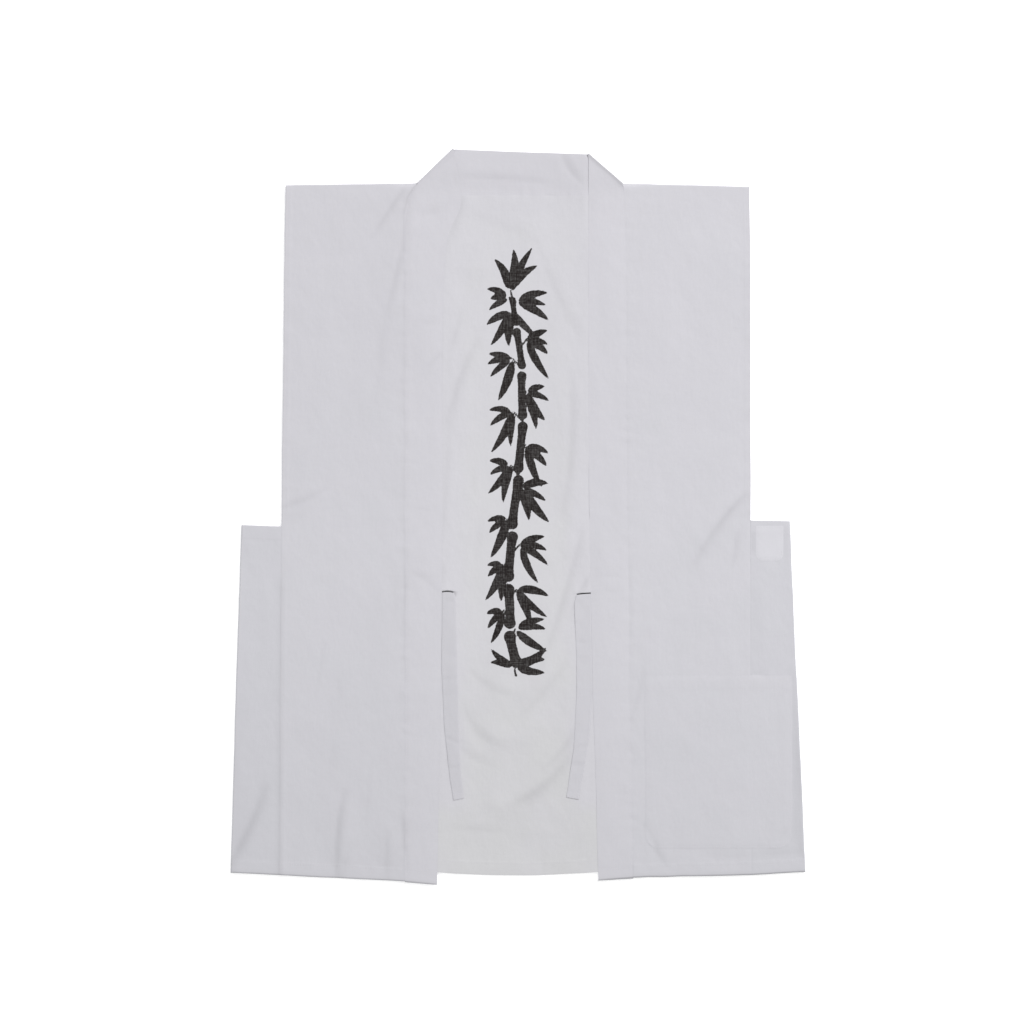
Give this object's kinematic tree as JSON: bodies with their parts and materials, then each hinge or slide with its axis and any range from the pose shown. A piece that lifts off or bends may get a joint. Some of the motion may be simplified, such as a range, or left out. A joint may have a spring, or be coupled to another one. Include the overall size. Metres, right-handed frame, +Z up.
{
  "type": "sleeveless pilgrim robe",
  "caption": "Sleeveless open-front robe of white cotton laid flat on its back, with a long collar band, folded side gussets, tie ribbons, a patch pocket and a blank label.",
  "frame": {"origin": "under the middle of the outline, on the underside that rests on the surface", "axes": "+Y towards the neck, +Z up out of the front, +X to the viewer's right"},
  "size_m": [0.6658, 0.8514, 0.004],
  "materials": {
    "back_cotton": "matt plain-weave cotton with a black ink motif down the middle",
    "body_cotton": "matt plain-weave cotton",
    "band_cotton": "matt plain-weave cotton, folded double",
    "tie_cotton": "matt plain-weave cotton, folded narrow",
    "label_cloth": "smooth woven tape, blank"
  },
  "bodies": {
    "root": {"back": "back_cotton", "front_left": "body_cotton", "front_right": "body_cotton", "gusset_left": "body_cotton", "gusset_right": "body_cotton", "collar_left": "band_cotton", "collar_neck": "band_cotton", "collar_right": "band_cotton", "tie_left": "tie_cotton", "tie_right": "tie_cotton", "pocket": "body_cotton", "label": "label_cloth"}
  },
  "joints": []
}
